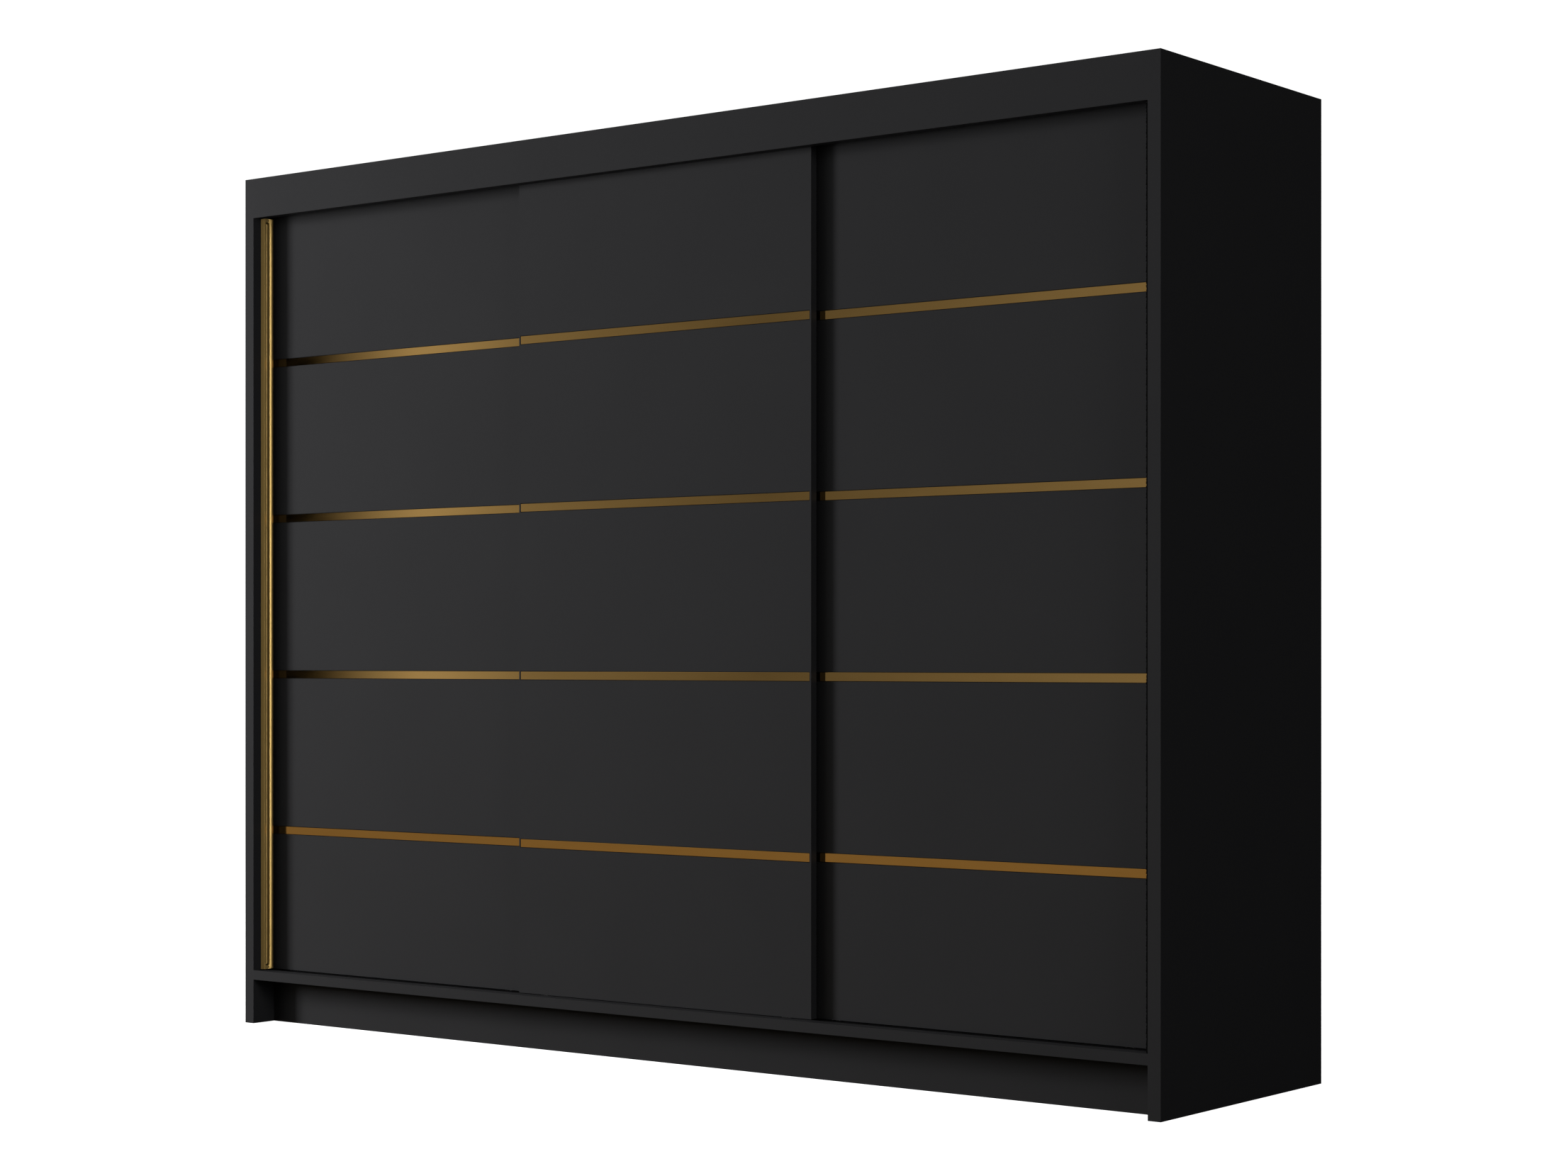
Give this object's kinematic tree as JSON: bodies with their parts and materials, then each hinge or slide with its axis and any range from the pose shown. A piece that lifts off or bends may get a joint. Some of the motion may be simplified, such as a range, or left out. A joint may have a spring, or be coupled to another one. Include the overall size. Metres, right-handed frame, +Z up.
{
  "type": "sliding-door wardrobe",
  "caption": "Wide black sliding-door wardrobe with mirror-gold inlay strips across its doors and full-height gold grip handles.",
  "frame": {"origin": "on the floor, at the middle of the outline", "axes": "+X to the right along the width, +Y from the front to the back, +Z up"},
  "size_m": [2.5, 0.64, 2],
  "materials": {
    "black_laminate": "matt black melamine-faced board",
    "hardboard": "thin brown hardboard",
    "beech": "bare fluted beech",
    "gold_mirror": "mirror-bright gold",
    "gold_anodised": "satin gold anodised",
    "black_anodised": "black anodised extrusion",
    "chromed_steel": "bright chromed tube",
    "zinc_alloy": "bare zinc die casting",
    "screw_steel": "zinc-plated steel",
    "nylon": "natural nylon",
    "black_plastic": "moulded black plastic",
    "black_rubber": "soft black rubber",
    "brush_pile": "woven black brush pile"
  },
  "bodies": {
    "carcass": {"left_side_panel": "black_laminate", "right_side_panel": "black_laminate", "top_panel": "black_laminate", "bottom_panel": "black_laminate", "header_board": "black_laminate", "front_plinth": "black_laminate", "back_plinth": "black_laminate", "plinth_cross_members": "black_laminate", "left_partition": "black_laminate", "right_partition": "black_laminate", "left_back_panel": "hardboard", "middle_back_panel": "hardboard", "right_back_panel": "hardboard", "left_hat_shelf": "black_laminate", "left_lower_shelf": "black_laminate", "middle_hat_shelf": "black_laminate", "right_hat_shelf": "black_laminate", "middle_hanging_rod": "chromed_steel", "right_hanging_rod": "chromed_steel", "rod_sockets": "zinc_alloy", "shelf_pins": "zinc_alloy", "top_track": "black_anodised", "bottom_track": "black_anodised", "track_screws": "screw_steel", "door_stops": "black_rubber", "right_panel_seal": "brush_pile", "wall_brackets": "screw_steel", "cam_locks": "zinc_alloy", "cam_bolts": "screw_steel", "dowels": "beech"},
    "left_door": {"left_door_board": "black_laminate", "left_door_strips": "gold_mirror", "left_door_roller_housings": "black_plastic", "left_door_guide_pins": "screw_steel", "left_door_handle": "gold_anodised", "left_door_handle_screws": "screw_steel", "left_door_edge_seal": "brush_pile"},
    "left_door_left_roller": {"left_door_left_roller": "nylon"},
    "left_door_left_guide_wheel": {"left_door_left_guide_wheel": "nylon"},
    "left_door_right_roller": {"left_door_right_roller": "nylon"},
    "left_door_right_guide_wheel": {"left_door_right_guide_wheel": "nylon"},
    "middle_door": {"middle_door_board": "black_laminate", "middle_door_strips": "gold_mirror", "middle_door_roller_housings": "black_plastic", "middle_door_guide_pins": "screw_steel", "middle_door_edge_seals": "brush_pile"},
    "middle_door_left_roller": {"middle_door_left_roller": "nylon"},
    "middle_door_left_guide_wheel": {"middle_door_left_guide_wheel": "nylon"},
    "middle_door_right_roller": {"middle_door_right_roller": "nylon"},
    "middle_door_right_guide_wheel": {"middle_door_right_guide_wheel": "nylon"},
    "right_door": {"right_door_board": "black_laminate", "right_door_strips": "gold_mirror", "right_door_roller_housings": "black_plastic", "right_door_guide_pins": "screw_steel", "right_door_handle": "gold_anodised", "right_door_handle_screws": "screw_steel"},
    "right_door_left_roller": {"right_door_left_roller": "nylon"},
    "right_door_left_guide_wheel": {"right_door_left_guide_wheel": "nylon"},
    "right_door_right_roller": {"right_door_right_roller": "nylon"},
    "right_door_right_guide_wheel": {"right_door_right_guide_wheel": "nylon"}
  },
  "joints": [
    {"name": "left_door_slide", "type": "slide", "parent": "carcass", "child": "left_door", "axis": [1, 0, 0], "range_m": [0, 0.76]},
    {"name": "left_door_left_roller_spin", "type": "hinge", "parent": "left_door", "child": "left_door_left_roller", "pos_m": [-1.149, -0.259, 0.1313], "axis": [0, 1, 0], "continuous": true},
    {"name": "left_door_left_guide_wheel_spin", "type": "hinge", "parent": "left_door", "child": "left_door_left_guide_wheel", "pos_m": [-1.159, -0.259, 1.9624], "axis": [0, 0, 1], "continuous": true},
    {"name": "left_door_right_roller_spin", "type": "hinge", "parent": "left_door", "child": "left_door_right_roller", "pos_m": [-0.454, -0.259, 0.1313], "axis": [0, 1, 0], "continuous": true},
    {"name": "left_door_right_guide_wheel_spin", "type": "hinge", "parent": "left_door", "child": "left_door_right_guide_wheel", "pos_m": [-0.444, -0.259, 1.9624], "axis": [0, 0, 1], "continuous": true},
    {"name": "middle_door_slide", "type": "slide", "parent": "carcass", "child": "middle_door", "axis": [1, 0, 0], "range_m": [-0.805, 0.788]},
    {"name": "middle_door_left_roller_spin", "type": "hinge", "parent": "middle_door", "child": "middle_door_left_roller", "pos_m": [-0.3245, -0.283, 0.1313], "axis": [0, 1, 0], "continuous": true},
    {"name": "middle_door_left_guide_wheel_spin", "type": "hinge", "parent": "middle_door", "child": "middle_door_left_guide_wheel", "pos_m": [-0.3345, -0.283, 1.9624], "axis": [0, 0, 1], "continuous": true},
    {"name": "middle_door_right_roller_spin", "type": "hinge", "parent": "middle_door", "child": "middle_door_right_roller", "pos_m": [0.343, -0.283, 0.1313], "axis": [0, 1, 0], "continuous": true},
    {"name": "middle_door_right_guide_wheel_spin", "type": "hinge", "parent": "middle_door", "child": "middle_door_right_guide_wheel", "pos_m": [0.353, -0.283, 1.9624], "axis": [0, 0, 1], "continuous": true},
    {"name": "right_door_slide", "type": "slide", "parent": "carcass", "child": "right_door", "axis": [1, 0, 0], "range_m": [-0.76, 0]},
    {"name": "right_door_left_roller_spin", "type": "hinge", "parent": "right_door", "child": "right_door_left_roller", "pos_m": [0.454, -0.259, 0.1313], "axis": [0, 1, 0], "continuous": true},
    {"name": "right_door_left_guide_wheel_spin", "type": "hinge", "parent": "right_door", "child": "right_door_left_guide_wheel", "pos_m": [0.444, -0.259, 1.9624], "axis": [0, 0, 1], "continuous": true},
    {"name": "right_door_right_roller_spin", "type": "hinge", "parent": "right_door", "child": "right_door_right_roller", "pos_m": [1.149, -0.259, 0.1313], "axis": [0, 1, 0], "continuous": true},
    {"name": "right_door_right_guide_wheel_spin", "type": "hinge", "parent": "right_door", "child": "right_door_right_guide_wheel", "pos_m": [1.159, -0.259, 1.9624], "axis": [0, 0, 1], "continuous": true}
  ],
  "couplings": [
    {"joint": "left_door_left_roller_spin", "follows": "left_door_slide", "rad_per_m": 83.333},
    {"joint": "left_door_right_roller_spin", "follows": "left_door_slide", "rad_per_m": 83.333},
    {"joint": "middle_door_left_roller_spin", "follows": "middle_door_slide", "rad_per_m": 83.333},
    {"joint": "middle_door_right_roller_spin", "follows": "middle_door_slide", "rad_per_m": 83.333},
    {"joint": "right_door_left_roller_spin", "follows": "right_door_slide", "rad_per_m": 83.333},
    {"joint": "right_door_right_roller_spin", "follows": "right_door_slide", "rad_per_m": 83.333}
  ]
}
